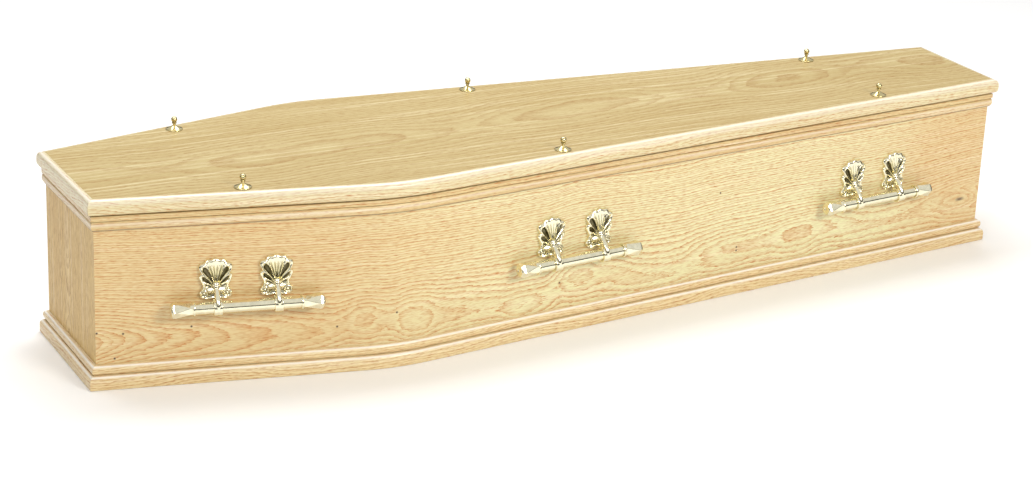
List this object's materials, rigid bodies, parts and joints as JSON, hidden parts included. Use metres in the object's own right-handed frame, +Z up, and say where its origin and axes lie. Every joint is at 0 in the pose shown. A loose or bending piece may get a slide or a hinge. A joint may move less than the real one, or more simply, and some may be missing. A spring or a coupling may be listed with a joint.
{
  "type": "wooden coffin",
  "caption": "Shouldered wooden coffin: hollow oak-veneered box with mitred mouldings, loose lid held by thumb screws, and brass bar handles on leaf brackets.",
  "frame": {"origin": "on the floor under the middle of the box's length and width", "axes": "+X towards the foot end, +Z up, Y across; left, as seen from the foot end, is -Y"},
  "size_m": [1.93, 0.5126, 0.371],
  "materials": {
    "oak_board": "satin lacquered oak veneer",
    "oak_lid": "satin lacquered oak veneer",
    "oak_moulding": "satin lacquered oak",
    "handle_brass": "bright pale brass plate",
    "screw_brass": "polished old brass"
  },
  "bodies": {
    "root": {"base_board": "oak_board", "side_board_left": "oak_board", "side_board_right": "oak_board", "head_board": "oak_board", "foot_board": "oak_board", "lid_board": "oak_lid", "base_moulding_left": "oak_moulding", "base_moulding_right": "oak_moulding", "base_moulding_head": "oak_moulding", "base_moulding_foot": "oak_moulding", "rim_moulding_left": "oak_moulding", "rim_moulding_right": "oak_moulding", "rim_moulding_head": "oak_moulding", "rim_moulding_foot": "oak_moulding", "lid_edge_left": "oak_moulding", "lid_edge_right": "oak_moulding", "lid_edge_head": "oak_moulding", "lid_edge_foot": "oak_moulding", "lid_screw_left_head": "screw_brass", "handle_left_head_bar": "handle_brass", "handle_left_head_bracket_head": "handle_brass", "handle_left_head_tip_head": "handle_brass", "handle_left_head_bracket_foot": "handle_brass", "handle_left_head_tip_foot": "handle_brass", "lid_screw_left_middle": "screw_brass", "handle_left_middle_bar": "handle_brass", "handle_left_middle_bracket_head": "handle_brass", "handle_left_middle_tip_head": "handle_brass", "handle_left_middle_bracket_foot": "handle_brass", "handle_left_middle_tip_foot": "handle_brass", "lid_screw_left_foot": "screw_brass", "handle_left_foot_bar": "handle_brass", "handle_left_foot_bracket_head": "handle_brass", "handle_left_foot_tip_head": "handle_brass", "handle_left_foot_bracket_foot": "handle_brass", "handle_left_foot_tip_foot": "handle_brass", "lid_screw_right_head": "screw_brass", "handle_right_head_bar": "handle_brass", "handle_right_head_bracket_head": "handle_brass", "handle_right_head_tip_head": "handle_brass", "handle_right_head_bracket_foot": "handle_brass", "handle_right_head_tip_foot": "handle_brass", "lid_screw_right_middle": "screw_brass", "handle_right_middle_bar": "handle_brass", "handle_right_middle_bracket_head": "handle_brass", "handle_right_middle_tip_head": "handle_brass", "handle_right_middle_bracket_foot": "handle_brass", "handle_right_middle_tip_foot": "handle_brass", "lid_screw_right_foot": "screw_brass", "handle_right_foot_bar": "handle_brass", "handle_right_foot_bracket_head": "handle_brass", "handle_right_foot_tip_head": "handle_brass", "handle_right_foot_bracket_foot": "handle_brass", "handle_right_foot_tip_foot": "handle_brass"}
  },
  "joints": []
}
